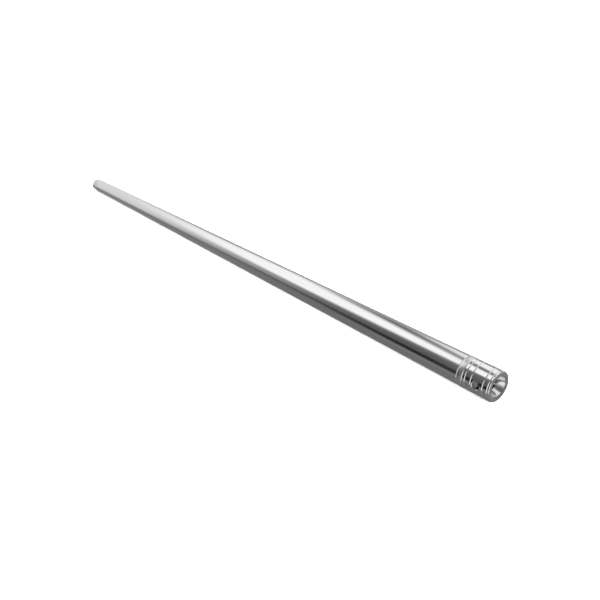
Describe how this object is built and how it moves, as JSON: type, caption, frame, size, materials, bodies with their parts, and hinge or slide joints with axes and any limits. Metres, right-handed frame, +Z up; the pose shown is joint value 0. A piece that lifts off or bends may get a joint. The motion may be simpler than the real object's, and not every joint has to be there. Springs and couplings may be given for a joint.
{
  "type": "single-tube truss segment",
  "caption": "Straight round aluminium tube with a turned conical coupler receiver and cross pin hole welded into each end, for building pinned stage and exhibition frames.",
  "frame": {"origin": "middle of the segment, on the tube's axis", "axes": "+X along the tube towards the receiver at the near end, both pin holes along Y, +Z up as it lies"},
  "size_m": [2, 0.0514, 0.0514],
  "materials": {
    "tube_aluminium": "drawn, bright",
    "turned_aluminium": "turned, bright",
    "weld_aluminium": "as welded, satin"
  },
  "bodies": {
    "root": {"main_tube": "tube_aluminium", "receiver_near": "turned_aluminium", "receiver_far": "turned_aluminium", "weld_bead_near": "weld_aluminium", "weld_bead_far": "weld_aluminium"}
  },
  "joints": []
}
